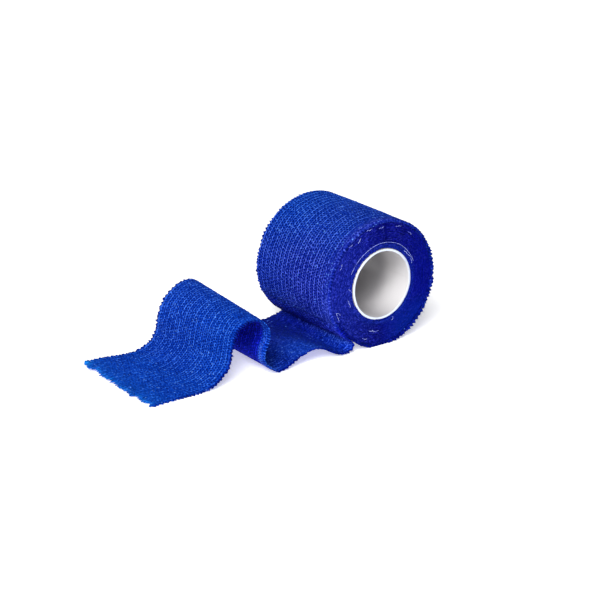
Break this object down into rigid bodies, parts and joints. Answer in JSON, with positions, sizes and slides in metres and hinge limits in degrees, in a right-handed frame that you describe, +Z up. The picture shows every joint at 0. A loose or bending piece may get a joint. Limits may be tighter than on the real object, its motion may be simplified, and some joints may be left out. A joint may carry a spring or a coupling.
{
  "type": "cohesive bandage roll",
  "caption": "Crepe cohesive bandage wound on a plain tube, lying on its side with its loose end arched over a surface; wraps and holds dressings.",
  "frame": {"origin": "on the surface it lies on, in the middle of the roll's flat spot, below the middle of the roll's axis", "axes": "+Z up; +Y along the roll's axis, away from the side that faces the viewer; the loose end runs out towards -X"},
  "size_m": [0.1398, 0.054, 0.0547],
  "materials": {
    "core": "glossy white",
    "bandage": "matt crepe, royal blue",
    "loose_end": "matt crepe, royal blue"
  },
  "bodies": {
    "root": {"core_tube": "core", "wound_bandage": "bandage", "loose_end": "loose_end"}
  },
  "joints": []
}
